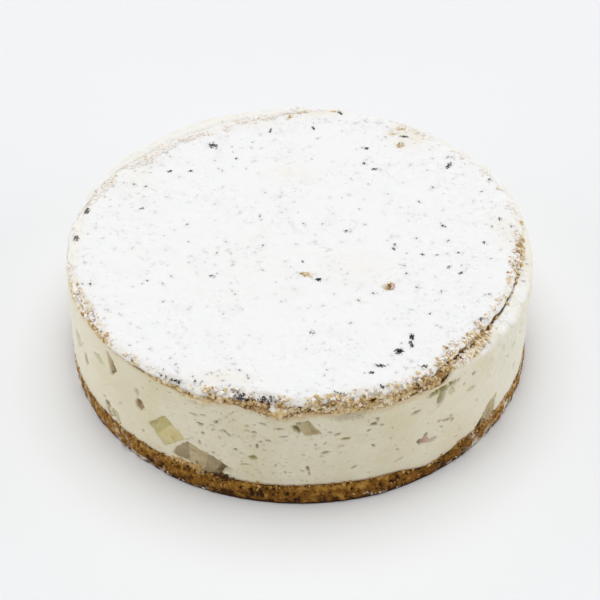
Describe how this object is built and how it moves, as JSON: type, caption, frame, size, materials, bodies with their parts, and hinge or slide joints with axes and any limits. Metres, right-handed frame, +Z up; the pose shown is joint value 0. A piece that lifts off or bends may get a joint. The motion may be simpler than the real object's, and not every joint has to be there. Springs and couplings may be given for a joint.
{
  "type": "semifreddo cake",
  "caption": "Whole round chilled cake: ricotta cream with pears between two thin nut biscuits, dusted with icing sugar.",
  "frame": {"origin": "middle of the underside, on the surface that the cake stands on", "axes": "+Z up through the layers, -Y towards the front of the cake, +X towards its right"},
  "size_m": [0.2197, 0.2206, 0.0655],
  "materials": {
    "baked_biscuit": "brown, porous and crumbly, dry",
    "cream": "pale ricotta cream, softly matt, finely pitted",
    "golden_biscuit": "golden brown, crumbly, dry",
    "icing_sugar": "white powder with dark flecks",
    "pear": "cooked pear, moist and slightly translucent"
  },
  "bodies": {
    "root": {"base_layer": "baked_biscuit", "cream_layer": "cream", "top_layer": "golden_biscuit", "sugar_layer": "icing_sugar", "pear_01": "pear", "pear_02": "pear", "pear_03": "pear", "pear_04": "pear", "pear_05": "pear", "pear_06": "pear", "pear_07": "pear", "pear_08": "pear", "pear_09": "pear", "pear_10": "pear", "pear_11": "pear", "pear_12": "pear", "pear_13": "pear", "pear_14": "pear", "pear_15": "pear", "pear_16": "pear", "pear_17": "pear", "pear_18": "pear", "pear_19": "pear", "pear_20": "pear", "pear_21": "pear", "pear_22": "pear", "pear_23": "pear"}
  },
  "joints": []
}
